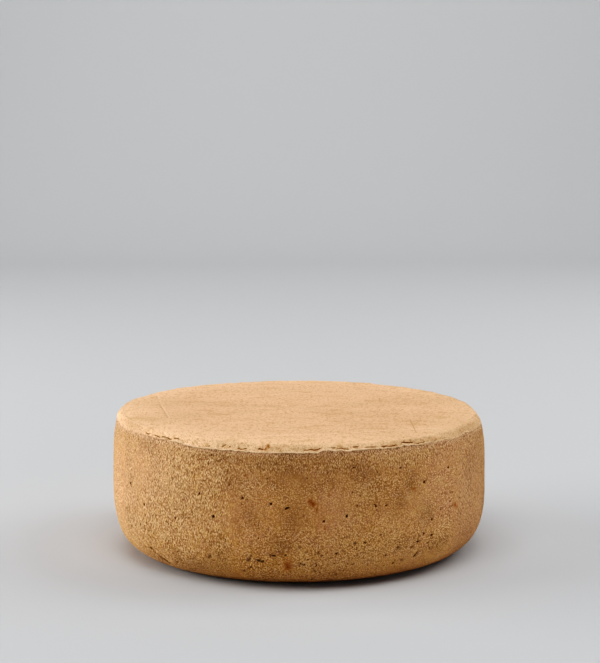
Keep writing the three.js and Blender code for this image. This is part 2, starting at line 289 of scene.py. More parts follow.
# pits: small dark holes with steep walls, their dark colour partly painted shade inside them
pitForm = {
    # degrees, height, radius, how dark
    "seen": [
        (209.8, 55, 1, 1), (200.8, 31.2, 0.7, 0.8), (218.2, 38.3, 0.7, 0.9), (219.8, 36.2, 0.7, 0.9),
        (230.8, 66.1, 0.6, 0.9), (231.5, 40.8, 0.7, 1), (244, 84, 0.6, 0.9), (241, 76, 0.6, 0.9),
        (240, 74.7, 0.5, 0.8), (238.2, 66.5, 0.5, 0.7), (240.3, 59.4, 0.8, 1), (243.8, 57.6, 0.5, 0.6),
        (244.8, 45.9, 0.9, 1), (241.8, 42.4, 0.6, 0.8), (240.6, 41.4, 0.5, 0.7), (256, 51, 0.5, 0.5),
        (255.4, 49, 0.5, 0.5), (262, 56.5, 0.8, 1), (266.8, 54.4, 0.8, 1), (266.1, 53.8, 0.6, 1),
        (265.6, 50.2, 0.7, 0.6), (258.4, 34.7, 0.7, 1), (283.5, 48.1, 1, 1), (286.5, 54.5, 0.7, 1),
        (292, 54.6, 0.7, 1), (292.3, 52.9, 0.7, 1), (292.6, 51.2, 0.6, 0.9), (300.5, 75.6, 0.7, 0.9),
        (309, 64.3, 1.2, 1), (319.5, 70.5, 0.9, 0.9), (312, 39.5, 0.7, 1), (229, 18, 0.5, 0.9),
        (230, 20.5, 0.5, 0.9), (231.4, 19, 0.6, 0.9), (293.8, 34.7, 0.7, 1), (215.5, 31.3, 0.6, 0.7),
        (208.8, 26.3, 0.7, 0.8), (228, 19.8, 0.5, 0.8), (229.6, 17.2, 0.5, 0.8), (312, 29, 1, 1),
        (309, 31, 0.8, 1), (256, 23, 0.7, 0.8), (255.2, 19.9, 1.1, 0.5), (255.6, 14.8, 0.7, 0.7),
        (253.2, 11.7, 0.6, 0.8), (261.8, 24.2, 0.7, 0.9), (262.5, 23.7, 0.8, 1), (263.1, 23.2, 0.6, 0.8),
        (266.1, 24, 0.8, 0.9), (270, 29.5, 0.8, 0.5), (272.5, 21, 0.6, 0.8), (270.2, 18.4, 0.8, 0.8),
        (271.3, 17.6, 0.8, 0.9), (271.5, 12.8, 0.6, 0.8), (275.5, 25.1, 0.6, 0.7), (276.5, 23.9, 0.7, 0.8),
        (280.5, 25.1, 0.7, 0.9), (278.2, 22.2, 0.6, 0.7), (286, 30.7, 0.8, 0.7), (289, 30.3, 0.8, 0.9),
        (296, 20.4, 0.8, 0.9), (299.8, 24.7, 0.9, 0.5), (304.8, 23.3, 1.2, 0.55), (306.8, 26.4, 0.8, 1),
        (302.2, 15, 1, 0.6), (329.5, 20.8, 0.8, 0.8), (330, 25.6, 0.7, 0.8), (280.2, 18, 0.6, 0.8),
        (285.6, 16.5, 0.6, 0.8), (294, 16.9, 0.6, 0.8), (301, 15.5, 0.5, 0.8), (300.8, 30.7, 0.7, 0.5),
        (302.5, 28.6, 0.6, 0.6), (305.2, 30.1, 0.5, 0.8), (293.2, 23.6, 0.5, 0.7), (286.5, 24.9, 0.5, 0.7),
        (311, 24.5, 0.6, 0.9), (313.8, 23.5, 0.6, 0.7), (260.5, 36, 0.5, 0.7), (284.2, 35.5, 0.6, 0.7),
        (269, 26.1, 0.6, 0.8), (269, 24.6, 0.5, 0.7), (271.8, 26.3, 0.6, 0.6), (274.5, 13.3, 0.6, 0.8),
        (273.8, 15.2, 0.5, 0.6), (269, 21, 0.6, 0.6), (273.5, 20.5, 0.5, 0.7), (281.2, 9.7, 0.6, 0.7),
        (258.2, 18.8, 0.6, 0.7), (243, 19.5, 0.8, 0.5), (238.5, 12.4, 0.7, 0.7), (239.2, 10.1, 0.6, 0.8),
        (302.8, 24.1, 0.7, 0.5),
    ],
    # longer hollows, from one place to another: degrees, height, degrees, height, width, depth
    "grooves": [
        (217.9, 16.2, 219.3, 11.8, 0.8, 0.6), (219.3, 11.8, 224, 7.6, 0.9, 0.7),
        (257, 19.9, 260.8, 19.5, 0.6, 0.5), (305.9, 15.3, 307.5, 19.1, 0.6, 0.5),
        (61, 12, 67, 9.5, 0.9, 0.7), (143, 16, 146.5, 12, 0.8, 0.6),
    ],
    # drawn pits: radius from smallest up, height from lowest up
    "stray": {"count": 90, "seed": 4127, "smallest": 0.7, "spread": 0.5, "lowest": 12, "climb": 62,
              "hiddenOnly": True},
    "pin": {"count": 220, "seed": 977, "smallest": 0.45, "spread": 0.35, "lowest": 6, "climb": 78,
            "hiddenOnly": False},
    "front": (196, 344),        # degrees, where the seen pits are
    "lowBias": 1.8,             # more of the drawn pits lie low, and most are small
    "smallBias": 3,
    "darkness": (0.45, 0.5),
    "depth": 0.95,              # as a share of a pit's radius
    "reach": 2.6,               # how far round a pit the mesh is drawn towards it
    "reachMore": 1,
    "pull": 0.55,
    "clearEdge": 1.5,           # the side's first and last mm stay even
    "ragged": 0.55,
    "raggedNoise": (0.9, 5),
    "squash": 1.15,
    "wall": (0.55, 1.15),       # in pit radii
    "shadeEnd": 1.6,
    "farthest": 2,
    "grooveWall": (0.2, 1.3),   # in groove widths
    "grooveRagged": 0.5,
    "grooveShade": 3,
}


def drawPits(kind):
    draw = seededDraws(kind["seed"])
    front = pitForm["front"]
    lightest, more = pitForm["darkness"]
    pits = []
    for index in range(kind["count"]):
        degrees = 360 * next(draw)
        height = kind["lowest"] + kind["climb"] * next(draw) ** pitForm["lowBias"]
        size = next(draw)
        if kind["hiddenOnly"] and front[0] < degrees < front[1]:
            continue
        radius = kind["smallest"] + kind["spread"] * size ** pitForm["smallBias"]
        pits.append((degrees, height, radius, lightest + more * size))
    return pits


# stains and dust, some of them partly painted light and shade: degrees, height, half width, half height
stainForm = {
    "rust": [
        (273.1, 58.6, 1.2, 1.6), (273.9, 56.8, 1, 1.3), (275, 53.2, 0.5, 1.6), (266.5, 18.2, 2.6, 2.7),
        (254.7, 73.4, 0.8, 1), (277.2, 41.6, 0.9, 0.9),
        (297.2, 36.2, 0.8, 0.8), (304.8, 61.5, 1.9, 0.9), (322.5, 45, 1.3, 1.6),
        (323.6, 43.2, 1, 1.1), (302.8, 38.9, 0.9, 1), (329.8, 76.7, 0.8, 1.3), (278.2, 62.1, 0.7, 0.7),
        (261, 91.6, 1, 0.9), (260.3, 90.6, 1.1, 0.5), (264.2, 91, 0.4, 0.4), (207, 84, 0.6, 1.2),
        (41, 30, 2.6, 2.2), (42.4, 28.6, 1.8, 1.8), (118, 61, 2, 1.7), (96, 24, 1.3, 1.2),
        (166, 40, 1.4, 1.6), (14, 70, 0.9, 1.1), (147, 72, 0.8, 0.9), (186, 62, 0.9, 0.9),
    ],
    # duller patches: partly the crust's own tone, partly painted shadow high on the front, as from a piece
    # lying above
    "dull": [
        (256, 48, 11, 18), (310, 46, 8, 10), (245, 20, 11, 11), (219, 9, 16, 5), (250, 84, 30, 8),
        (217, 84, 14, 6), (300, 55, 8, 9),
        (268, 76, 26, 17), (289, 76, 12, 9), (252, 70, 12, 14), (265, 30, 9, 7), (259, 82, 24, 8),
        (268, 46, 8, 12), (236, 12, 26, 8), (304, 66, 8, 9), (316, 22, 9, 6), (30, 70, 16, 10),
        (75, 50, 10, 12), (125, 76, 14, 8), (160, 30, 12, 8), (350, 35, 8, 10),
    ],
    "dusty": [
        (304, 20, 14, 10), (309, 50, 9, 14), (256, 68, 9, 10), (317, 10, 12, 6), (272, 18, 11, 7),
        (288, 62, 12, 8), (280, 57, 11, 8), (283, 46, 13, 10), (316, 62, 8, 10), (232, 62, 18, 14),
        (279, 33, 10, 9), (297, 38, 8, 12), (279, 20, 11, 8), (290, 22, 14, 9), (300, 83, 22, 6),
        (303, 56, 5, 5), (240, 57, 5, 5), (328, 50, 14, 30), (326, 16, 14, 8),
        (258.8, 9.7, 3, 2), (255.5, 20.5, 3, 2.5), (272.5, 15, 5, 4), (20, 50, 14, 9), (95, 72, 12, 9),
        (140, 48, 12, 8), (180, 74, 9, 8),
    ],
    # pinker, greyer patches: partly the crust's own tone, partly a painted sheen on the lit left and right
    # sides
    "rosy": [
        (256, 50, 10, 20), (280, 56, 10, 9), (293, 50, 7, 6), (317, 48, 8, 16),
        (208, 55, 20, 44), (222, 74, 14, 12), (318, 60, 12, 14), (330, 55, 22, 34), (40, 60, 20, 18),
        (120, 40, 18, 20),
    ],
    # yellower patches: partly the crust's own tone, partly a painted warm reflection on the shaded front
    "yellowed": [
        (224, 20, 26, 14), (268, 34, 7, 8), (289, 30, 8, 7), (289, 66, 6, 6), (240, 66, 7, 8),
        (268, 50, 34, 34), (292, 56, 26, 26), (245, 30, 12, 10), (80, 45, 20, 20), (165, 55, 16, 20),
    ],
    # paler low down: partly a drier crust, partly painted light thrown up from the floor
    "paleLow": [(290, 23, 24, 12), (316, 22, 12, 10), (275, 18, 14, 8), (60, 14, 50, 14), (150, 12, 40, 12)],
    # dirt in the low pits
    "dirt": [
        (255.2, 19.8, 1.6, 1.3), (255.6, 14.8, 1.9, 0.7), (253.2, 11.7, 1.3, 0.9), (270.8, 18, 1.8, 0.8),
        (270, 29.5, 1.2, 0.9), (271.8, 26.3, 1, 0.8), (299.8, 24.7, 1.1, 1.3), (300.9, 23.4, 1.1, 0.8),
        (302.8, 24.1, 0.9, 1.1), (304.8, 23.3, 1.4, 1.3), (302.2, 15.1, 1.3, 1.1), (243, 19.5, 1.7, 1.3),
        (238.8, 11, 1.6, 1.1), (259, 8.7, 1.8, 0.9), (281.2, 9.7, 2, 0.9), (285.8, 16.6, 1.1, 0.8),
        (286, 30.7, 1.1, 0.9), (256, 23, 1.1, 0.9), (262.4, 23.7, 1.8, 1), (274.4, 13.2, 1.2, 0.9),
        (62, 20, 2, 1.2), (110, 12, 1.6, 1), (150, 14, 1.8, 1.2),
    ],
    "honeyLow": [(250, 18, 26, 17), (100, 16, 24, 12)],
    # where the pale rim is darker tan: worn in places, and on the front right a painted shadow, as from a
    # piece lying above
    "weathered": [(334, 91, 30, 8), (306, 90, 18, 5), (206, 91, 16, 6), (20, 92, 24, 6), (170, 92, 20, 6)],
    # where the crust is finer and flatter, and where it is coarser
    "calm": [
        (304, 9, 36, 9), (276, 50, 44, 19), (304, 52, 34, 17), (316, 12, 22, 8), (268, 72, 14, 6),
        (70, 60, 40, 22),
    ],
    "coarse": [(220, 22, 40, 26), (236, 74, 22, 14), (140, 40, 24, 16)],
    # how quickly each stain fades at its edge
    "softness": {
        "rust": 0.5, "dirt": 0.5, "dull": 0.42, "dusty": 0.5, "rosy": 0.4, "yellowed": 0.4, "paleLow": 0.5,
        "honeyLow": 0.4, "calm": 0.6, "coarse": 0.5, "weathered": 0.5,
    },
    "wornShadedRimFade": 0.6,        # the worn and shaded rim fades by this much on the top itself
    # where the cloth dragged the crust upwards: broad patches round the side, and all of it high up
    "dragWaves": 3,
    "dragStart": 592,
    "dragEdge": (0.1, 0.5),
    "dragHeight": (66, 80),
}


def mmBetween(degrees, start):
    # from one direction to another, round the belt
    return np.radians(turnBetween(degrees, start)) * wheelForm["radius"]


def sumSwells(swells, angle, height):
    total = 0.0
    for size, waves, climb, start in swells:
        total = total + size * np.sin(waves * angle + climb * height + start)
    return total


def roundRim(name, degrees):
    # one of the rim's values that change round the wheel
    turns, values = zip(*rimForm[name])
    return np.interp(degrees, turns, values)


def crackShare(degrees, up, even, tall):
    # 1 in the middle of a wide crack; up is the height above the rim
    share = np.zeros(len(degrees))
    wander = noiseSum(even, rimForm["crackWander"])
    for middle, half, level, amount in rimForm["cracks"]:
        away = np.abs(turnBetween(degrees, middle)) / half
        across = (up - level - wander) / tall
        length = 1.0 - smoothStep(*rimForm["crackEnd"], away)
        share = np.maximum(share, amount * length * np.exp(-across ** 2))
    broken = np.clip(rimForm["crackWhole"] + noiseSum(even, rimForm["crackGaps"]), 0.0, 1.0)
    return share * broken * np.minimum(2.0 * roundRim("sharpness", degrees), 1.0)


def dentDepth(degrees, height):
    depth = 0.0
    for middle, level, width, tall, deepest in wheelForm["dents"]:
        across = mmBetween(degrees, middle) / width
        up = (height - level) / tall
        depth = depth + deepest * np.exp(-(across ** 2 + up ** 2))
    return depth


def shapePoints(radius, angle, height):
    # from the even wheel to the uneven one
    form, rim = wheelForm, rimForm
    degrees = np.degrees(angle) % 360.0
    outward = radius / form["radius"]
    atRim = outward ** 6        # only near the rim's radius
    above = height - form["rimHeight"]
    clearOfFoot = smoothStep(0, form["clearOfFoot"], height)
    onTop = smoothStep(rim["topFrom"], form["shoulderRise"], above)
    nearRim = np.exp(-((above - rim["waveAbove"]) / rim["waveTall"]) ** 2) * atRim
    even = np.stack([radius * np.cos(angle), radius * np.sin(angle), np.zeros(len(radius))], axis=1)
    crack = crackShare(degrees, above, even, rim["crackTall"]) * atRim
    newRadius = radius + outward ** 3 * sumSwells(form["sideSwells"], angle, height) * clearOfFoot
    newRadius = newRadius - (1 - onTop) * dentDepth(degrees, height) * clearOfFoot
    newRadius = newRadius - crack * rim["crackDepth"] + nearRim * noiseSum(even, rim["frayed"])
    newHeight = height + nearRim * (roundRim("levels", degrees) + noiseSum(even, rim["wobble"]))
    newHeight = newHeight + onTop * outward * sumSwells(form["topSwells"], angle, 0.0)
    newHeight = newHeight * (1 - form["lean"] * np.cos(angle) * outward)
    return newRadius, newHeight, crack


def placePits():
    outRadius, outHeight, outAlong = sideOutline()
    pits = []
    drawn = drawPits(pitForm["stray"]) + drawPits(pitForm["pin"])
    for degrees, height, radius, dark in pitForm["seen"] + drawn:
        pits.append({
            "degrees": degrees, "radius": radius, "dark": dark,
            "along": float(np.interp(height, outHeight, outAlong)),
            "ringRadius": float(np.interp(height, outHeight, outRadius)),
        })
    return pits


def drawTowardsPits(angle, along, pits, lowest, highest):
    # vertices slide towards the pits, so that each pit has enough of them
    for pit in pits:
        reach = pitForm["reach"] * pit["radius"] + pitForm["reachMore"]
        turn = np.radians(turnBetween(np.degrees(angle), pit["degrees"]))
        up = along - pit["along"]
        away = np.hypot(turn * pit["ringRadius"], up)
        near = (away < reach) & (along > lowest) & (along < highest)
        pull = (np.maximum(away[near], 1e-6) / reach) ** pitForm["pull"]
        angle[near] = angle[near] + (pull - 1) * turn[near]
        along[near] = np.clip(along[near] + (pull - 1) * up[near], lowest, highest)


def pitHollows(angle, along, pits, ragged):
    # how deep the skin drops, and how dark it is painted (partly painted shade inside the pit), from 0 at a
    # pit's edge to 1 in its middle
    form = pitForm
    drop = np.zeros(len(angle))
    dark = np.zeros(len(angle))
    for pit in pits:
        turn = np.radians(turnBetween(np.degrees(angle), pit["degrees"]))
        up = (along - pit["along"]) * form["squash"]
        away = np.hypot(turn * pit["ringRadius"], up) / pit["radius"]
        near = away < form["farthest"]
        edge = away[near] + form["ragged"] * ragged[near]
        inside = 1.0 - smoothStep(*form["wall"], edge)
        drop[near] = np.maximum(drop[near], inside * form["depth"] * pit["radius"])
        dark[near] = np.maximum(dark[near], pit["dark"] * np.clip(form["shadeEnd"] - edge, 0.0, 1.0))
    return drop, dark


def grooveHollows(degrees, height):
    drop = np.zeros(len(degrees))
    for startTurn, startHeight, endTurn, endHeight, width, depth in pitForm["grooves"]:
        across = mmBetween(endTurn, startTurn)
        rise = endHeight - startHeight
        offAcross = mmBetween(degrees, startTurn)
        offUp = height - startHeight
        share = np.clip((offAcross * across + offUp * rise) / (across ** 2 + rise ** 2), 0.0, 1.0)
        away = np.hypot(offAcross - share * across, offUp - share * rise) / width
        drop = np.maximum(drop, depth * (1.0 - smoothStep(*pitForm["grooveWall"], away)))
    return drop


def stainMask(name, degrees, height):
    # 1 in the middle of a stain, a half at its edge
    mask = np.zeros(len(degrees))
    for middle, level, halfWidth, halfHeight in stainForm[name]:
        across = mmBetween(degrees, middle) / halfWidth
        away = np.hypot(across, (height - level) / halfHeight)
        mask = np.maximum(mask, np.clip(0.5 + (1.0 - away) * stainForm["softness"][name], 0.0, 1.0))
    return mask


def dragShare(degrees, height):
    # 1 where the grain stands upright
    form = stainForm
    waves = np.sin(np.radians(form["dragWaves"] * degrees - form["dragStart"]))
    return np.maximum(smoothStep(*form["dragEdge"], waves), smoothStep(*form["dragHeight"], height))


def evenWheel(rings):
    # every ring's points on the even wheel, with the pits' neighbours drawn closer
    form = wheelForm
    counts = [ring["columns"] for ring in rings]
    owner = np.repeat(np.arange(len(rings)), counts)
    grid = {"angle": np.concatenate([2 * math.pi * np.arange(count) / count for count in counts])}
    for key in ("zone", "radius", "height", "along", "row"):
        grid[key] = np.array([ring[key] for ring in rings])[owner]
    for zone in ("side", "rim", "top"):
        grid[zone] = grid["zone"] == zone

    outRadius, outHeight, outAlong = sideOutline()
    side, margin = grid["side"], pitForm["clearEdge"]
    grid["pits"] = placePits()
    angle, along = grid["angle"][side], grid["along"][side]
    drawTowardsPits(angle, along, grid["pits"], margin, outAlong[-1] - margin)
    grid["angle"][side], grid["along"][side] = angle, along
    grid["radius"][side] = np.interp(along, outAlong, outRadius)
    grid["height"][side] = np.interp(along, outAlong, outHeight)
    grid["degrees"] = np.degrees(grid["angle"]) % 360.0

    # the rim's rows lie between the lip and the round shoulder
    grid["sharp"] = roundRim("sharpness", grid["degrees"])
    lipPlace, roundPlace = (np.array(rimForm[key])[grid["row"]] for key in ("profile", "roundProfile"))
    place = roundPlace + (lipPlace - roundPlace) * grid["sharp"][:, None]
    grid["radius"] = np.where(grid["rim"], form["rimRadius"] + place[:, 0], grid["radius"])
    grid["height"] = np.where(grid["rim"], form["rimHeight"] + place[:, 1], grid["height"])

    # which way the even skin faces
    out = np.interp(grid["along"], outAlong, np.gradient(outHeight, outAlong))
    up = -np.interp(grid["along"], outAlong, np.gradient(outRadius, outAlong))
    rimOut, rimUp = rimForm["facing"]
    grid["out"] = np.where(grid["rim"], rimOut, np.where(side, out, 0.0))
    grid["up"] = np.where(grid["rim"], rimUp, np.where(grid["top"], 1.0, np.where(side, up, 0.0)))
    return grid


def wheelMesh():
    form, rim = wheelForm, rimForm
    rings = wheelRings()
    grid = evenWheel(rings)
    radius, height, angle, degrees = (grid[key] for key in ("radius", "height", "angle", "degrees"))
    onSide, onRim, onTop, sharp = (grid[key] for key in ("side", "rim", "top", "sharp"))
    newRadius, newHeight, crack = shapePoints(radius, angle, height)
    above = height - form["rimHeight"]
    even = np.stack([radius * np.cos(angle), radius * np.sin(angle), height], axis=1)
    drop, dark = np.zeros(len(radius)), np.zeros(len(radius))
    ragged = latticeNoise(even, *pitForm["raggedNoise"])
    sideAngle, sideAlong = angle[onSide], grid["along"][onSide]
    drop[onSide], dark[onSide] = pitHollows(sideAngle, sideAlong, grid["pits"], ragged[onSide])
    groove = np.where(onSide, grooveHollows(degrees, height + pitForm["grooveRagged"] * ragged), 0.0)

    # where the pale crust above the lip begins, and the rougher band inside the rim
    crumbs = latticeNoise(even * np.array([1.0, 1.0, form["crumbTall"]]), *form["crumbs"])
    softRim = 1.0 - sharp
    lipEdge = above + softRim * (noiseSum(even, [rim["softEdge"]]) + crumbs)
    begins, whole = (edge + move * softRim for edge, move in zip(rim["lipEdge"], rim["softMove"]))
    aboveLip = smoothStep(begins, whole, lipEdge)
    insideRim = smoothStep(*rim["bandInside"], radius + noiseSum(even, [rim["bandEdge"]]))
    band = np.where(onTop, insideRim, aboveLip)

    # low relief on each zone
    pebbles = latticeNoise(even, *form["pebbles"])
    lumps = noiseSum(even, form["lumps"])
    sideShare = np.where(onSide, smoothStep(*form["bareFoot"], height), 0.0)
    sideShare = np.where(onRim, rim["underRelief"] * (1 - aboveLip), sideShare)
    topOnly = np.where(onTop, 1 - band, 0.0)
    relief = -np.maximum(drop, groove)
    for share, name in ((sideShare, "sideRelief"), (band, "bandRelief"), (topOnly, "topRelief")):
        crumbRise, pebbleRise, lumpRise = form[name]
        relief += share * (crumbRise * crumbs + pebbleRise * pebbles + lumpRise * lumps)
    newRadius = newRadius + relief * grid["out"]
    newHeight = np.maximum(newHeight + relief * grid["up"], 0.0)

    lipLine = np.exp(-((above - rim["lipMiddle"]) / rim["lipTall"]) ** 2)
    edgeOnSide = smoothStep(*rim["edgeHeight"], height)
    masks = {
        "pit": np.maximum(dark, np.clip(groove * pitForm["grooveShade"], 0.0, 1.0)),
        "crack": crack,
        "fray": crackShare(degrees, above, even, rim["frayTall"]) * (radius / form["radius"]) ** 6,
        "lip": np.where(onRim, sharp * lipLine, 0.0),
        "rimEdge": np.where(onTop, smoothStep(*rim["edgeInside"], radius), edgeOnSide),
        "underLip": np.where(onTop, 0.0, smoothStep(*rim["underLip"], height) * (1 - aboveLip)),
        "bevel": np.where(onTop, smoothStep(*rim["bevelInside"], radius), aboveLip),
        "topShare": np.where(onTop, 1.0, aboveLip),
        "band": band,
        "upright": dragShare(degrees, height),
    }
    for name in stainForm["softness"]:
        masks[name] = stainMask(name, degrees, height)
    masks["weathered"] *= 1 - stainForm["wornShadedRimFade"] * onTop
    for name in masks:
        masks[name] = np.concatenate([masks[name], [masks[name][0], masks[name][-1]]])

    points = np.stack([newRadius * np.cos(angle), newRadius * np.sin(angle), newHeight], axis=1)
    faces = ringFaces(rings, len(points))
    points = np.vstack([points, [[0.0, 0.0, 0.0]], [[0.0, 0.0, float(newHeight[-1])]]])
    return fitToBox(points), faces, masks


def ringFaces(rings, middleLow):
    # squares between equal rings, three triangles where the count doubles, and a fan at each end
    counts = [ring["columns"] for ring in rings]
    starts = [0] + np.cumsum(counts)[:-1].tolist()
    faces = [(middleLow, (column + 1) % counts[0], column) for column in range(counts[0])]
    for low, high, lowCount, highCount in zip(starts, starts[1:], counts, counts[1:]):
        few, many = (low, high) if lowCount < highCount else (high, low)
        coarse = min(lowCount, highCount)
        for column in range(coarse):
            following = (column + 1) % coarse
            if lowCount == highCount:
                faces.append((low + column, low + following, high + following, high + column))
                continue
            left, right = few + column, few + following
            first, middle, last = many + 2 * column, many + 2 * column + 1, many + 2 * following
            three = [(left, middle, first), (left, right, middle), (right, last, middle)]
            faces += three if lowCount < highCount else [face[::-1] for face in three]
    for column in range(counts[-1]):
        faces.append((starts[-1] + column, starts[-1] + (column + 1) % counts[-1], middleLow + 1))
    return faces


def fitToBox(points):
    # the finished wheel fills the solid's box, and no more
    low, high = (np.array(corner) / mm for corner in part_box("wheel"))
    low[2] = 0.0
    size = points.max(axis=0) - points.min(axis=0)
    scale = np.minimum((high - low) / size, 1.0)
    middle = (points.max(axis=0) + points.min(axis=0)) / 2
    middle[2] = points[:, 2].min()
    return (points - middle) * scale * mm


# the dry natural rind
rindFinish = {
    # colours
    "tan": (0.488, 0.257, 0.118, 1), "topTan": (0.752, 0.455, 0.27, 1),
    "bandCream": (0.867, 0.553, 0.328, 1), "crumb": (0.8, 0.492, 0.265, 1),
    "pore": (0.14, 0.075, 0.032, 1), "pink": (0.511, 0.258, 0.135, 1), "ochre": (0.45, 0.223, 0.076, 1),
    "brown": (0.32, 0.157, 0.061, 1), "freckle": (0.5, 0.24, 0.1, 1), "dust": (0.576, 0.33, 0.161, 1),
    "rosyDust": (0.57, 0.328, 0.202, 1), "crumbTip": (0.96, 0.686, 0.419, 1),
    "bandPore": (0.4, 0.175, 0.068, 1), "bevelCrumb": (1, 0.666, 0.4, 1), "shade": (0.79, 0.8, 0.81, 1),
    "straw": (0.64, 0.4, 0.15, 1), "plum": (0.38, 0.215, 0.14, 1), "speck": (0.441, 0.191, 0.07, 1),
    "lowTan": (0.613, 0.336, 0.125, 1), "honey": (0.474, 0.246, 0.058, 1),
    # the pits' colours: partly their own dark inside, partly painted shade
    "pitBlack": (0.065, 0.038, 0.018, 1), "pitOlive": (0.12, 0.078, 0.034, 1),
    "dirt": (0.27, 0.165, 0.08, 1), "crackBrown": (0.22, 0.092, 0.03, 1), "lipCream": (1, 0.69, 0.43, 1),
    "rust": (0.37, 0.142, 0.036, 1), "rustHeart": (0.18, 0.068, 0.02, 1),
    "roughness": 0.92,
    "specular": 0.25,
    # waves in a metre, detail, roughness, stretch along x, y and z
    "noises": {
        "slow": (22, 3, 0.55), "middle": (70, 3, 0.6), "small": (190, 3, 0.6), "patchy": (260, 2, 0.6),
        "worn": (48, 2, 0.5), "gaps": (70, 2, 0.5), "lumpy": (500, 2, 0.65), "fine": (1800, 1, 0.5),
        "grain": (1500, 2, 0.6), "tallGrain": (1500, 2, 0.6, (1.9, 1.9, 0.52)),
        "speckled": (620, 3, 0.75, (1, 0.5, 1)), "cloudy": (120, 4, 0.65, (0.5, 1, 1)),
        "splinters": (420, 3, 0.65, (1, 1, 4)),
    },
    # cells in a metre, and their stretch
    "cells": {
        "crumb": (1050,), "tallCrumb": (1050, (2, 2, 0.6)), "pore": (400,), "dot": (230, (1, 0.55, 1)),
        "speck": (640,),
    },
    # colour, how strongly it covers, and between which values it comes in
    "coats": {
        "band": ("bandCream", 0.8), "rosy": ("pink", 0.85, 0.1, 0.8), "yellowed": ("ochre", 0.55, 0, 0.9),
        "honeyed": ("honey", 0.5, 0.2, 0.8), "paleLow": ("lowTan", 0.75), "dull": ("brown", 0.38),
        "dusty": ("dust", 0.56, 0.3, 1.1), "straw": ("straw", 0.27, 0.52, 0.68),
        "plum": ("plum", 0.27, 0.48, 0.32), "underLip": ("rosyDust", 0.65), "bevel": ("bevelCrumb", 0.45),
        "tips": ("crumbTip", 0.66, 0.28, 0.36), "pores": ("pore", 0.8, 0.28, 0.14),
        "hollows": ("pore", 0.62, 0.45, 0.33), "lumps": ("crumbTip", 0.42, 0.55, 0.68),
        "freckles": ("freckle", 0.5, 0.5, 0.61), "paler": ("crumb", 0.62, 0.5, 0.38),
        "dots": ("speck", 0.7, 0.2, 0.12), "smudges": ("freckle", 0.42, 0.5, 0.7),
        "lightFolds": ("crumbTip", 0.5), "darkFolds": ("brown", 0.5), "specks": ("speck", 0.5, 0.34, 0.18),
        "weathered": ("brown", 0.42), "lip": ("lipCream", 1, 0.36, 0.56, 0.1, 1),
        "torn": ("speck", 0.42, 0.58, 0.74), "crack": ("crackBrown", 0.92, 0.48, 0.66),
        "dirt": ("dirt", 0.75, 0.4, 0.85), "rust": ("rust", 0.88, 0.36, 0.62),
        "rustHeart": ("rustHeart", 0.72, 0.68, 0.98),
    },
    # the other shares: where they begin and are full, and for some their least and most
    "ranges": {
        "low": (0.034, 0.01), "foot": (0.011, 0.001), "dull": (0.2, 1.15), "worn": (0.36, 0.62, 0.66, 0.93),
        "crumbs": (0.18, 0.31), "openTop": (0, 1), "porous": (0.135, 0.04), "poreChance": (0.82, 0.92),
        "dotChance": (0.86, 0.92), "gaps": (0.3, 0.56), "speckChance": (0.58, 0.7), "pit": (0.38, 0.85),
    },
    # which noise moves a stain's edge, and how far
    "drifts": {
        "rosy": ("slow", 2.5), "yellowed": ("middle", 1.5), "honeyed": ("small", 2), "dull": ("middle", 0.6),
        "dusty": ("middle", 1), "crack": ("splinters", 0.6), "dirt": ("small", 1), "ragged": ("grain", 0.9),
        "rust": ("small", 1.4), "rustGrain": ("grain", 1.8),
    },
    # how much each place or noise counts
    "bandRough": 0.55, "edgeRough": 0.92, "lowHoney": 0.4, "honeyLow": 0.6, "footDarkening": 0.55,
    "calm": 0.58, "coarse": 1.2, "coarseCrumb": 0.28, "grainShare": 0.9, "cellShare": 0.55,
    "frayShare": 0.26, "crackShare": 1.6,
    # how many fewer or more tips and pores some places have
    "fewerTipsLow": 0.45, "fewerPoresLow": 0.3, "edgeOpen": 0.9, "topClosed": 0.65, "bevelClosed": 0.35,
    "morePoresLow": 0.15, "morePoresCoarse": 0.1,
    # bumps: how deep in metres, and how strong
    "bumps": {
        "small": (0.0005, 0.35), "crumbTop": (0.0005, 0.8), "grain": (0.0007, 0.9), "fine": (0.0004, 0.8),
        "speckled": (0.0007, 0.6), "folds": (0.0003, 0.6),
    },
    "leastBump": 0.45,
    # straight folds that the cloth left on top: x, y, x, y in mm, half width in mm, light or dark
    "folds": [
        (-98, 44, -92, 1.5, 0.9, 1), (-92, 1.5, -84, -42, 0.9, 1),
        (-99.5, 44, -93.5, 1.5, 0.7, -1), (-93.5, 1.5, -85.5, -42, 0.7, -1),
        (-30, -100, 24, -88, 1.3, 1), (24, -88, 51, -76, 1.3, 1), (51, -76, 90, -65, 1.2, 1),
        (72.5, -38.6, 73.8, -79.5, 0.6, -1), (-46, 84, 20, 95, 1.2, 1), (66, 20, 88, 52, 0.8, -1),
        (-52, 30, 8, 66, 1, 1),
    ],
}

# all the functions down to paintRind add to this one material
rind, rindShader = makeMaterial("naturalRind", rindFinish["roughness"], rindFinish["specular"])
skin = {}       # its masks, noises, shares and latest colour, by name


def addNode(kind, inputs, output, **settings):
    # sockets are linked, plain values are set
    node = rind.node_tree.nodes.new("ShaderNode" + kind)
    for name, value in settings.items():
        setattr(node, name, value)
    for place, value in inputs.items():
        if hasattr(value, "is_linked"):
            rind.node_tree.links.new(value, node.inputs[place])
        else:
            node.inputs[place].default_value = value
    return node.outputs[output]


def stretched(stretch=None):
    coords = skin["coords"]
    return addNode("Mapping", {"Vector": coords, "Scale": stretch}, "Vector") if stretch else coords


def fieldNoise(name):
    # noise over the object's own metres
    scale, detail, roughness, *stretch = rindFinish["noises"][name]
    inputs = {"Vector": stretched(*stretch), "Scale": scale, "Detail": detail, "Roughness": roughness}
    return addNode("TexNoise", inputs, "Fac")


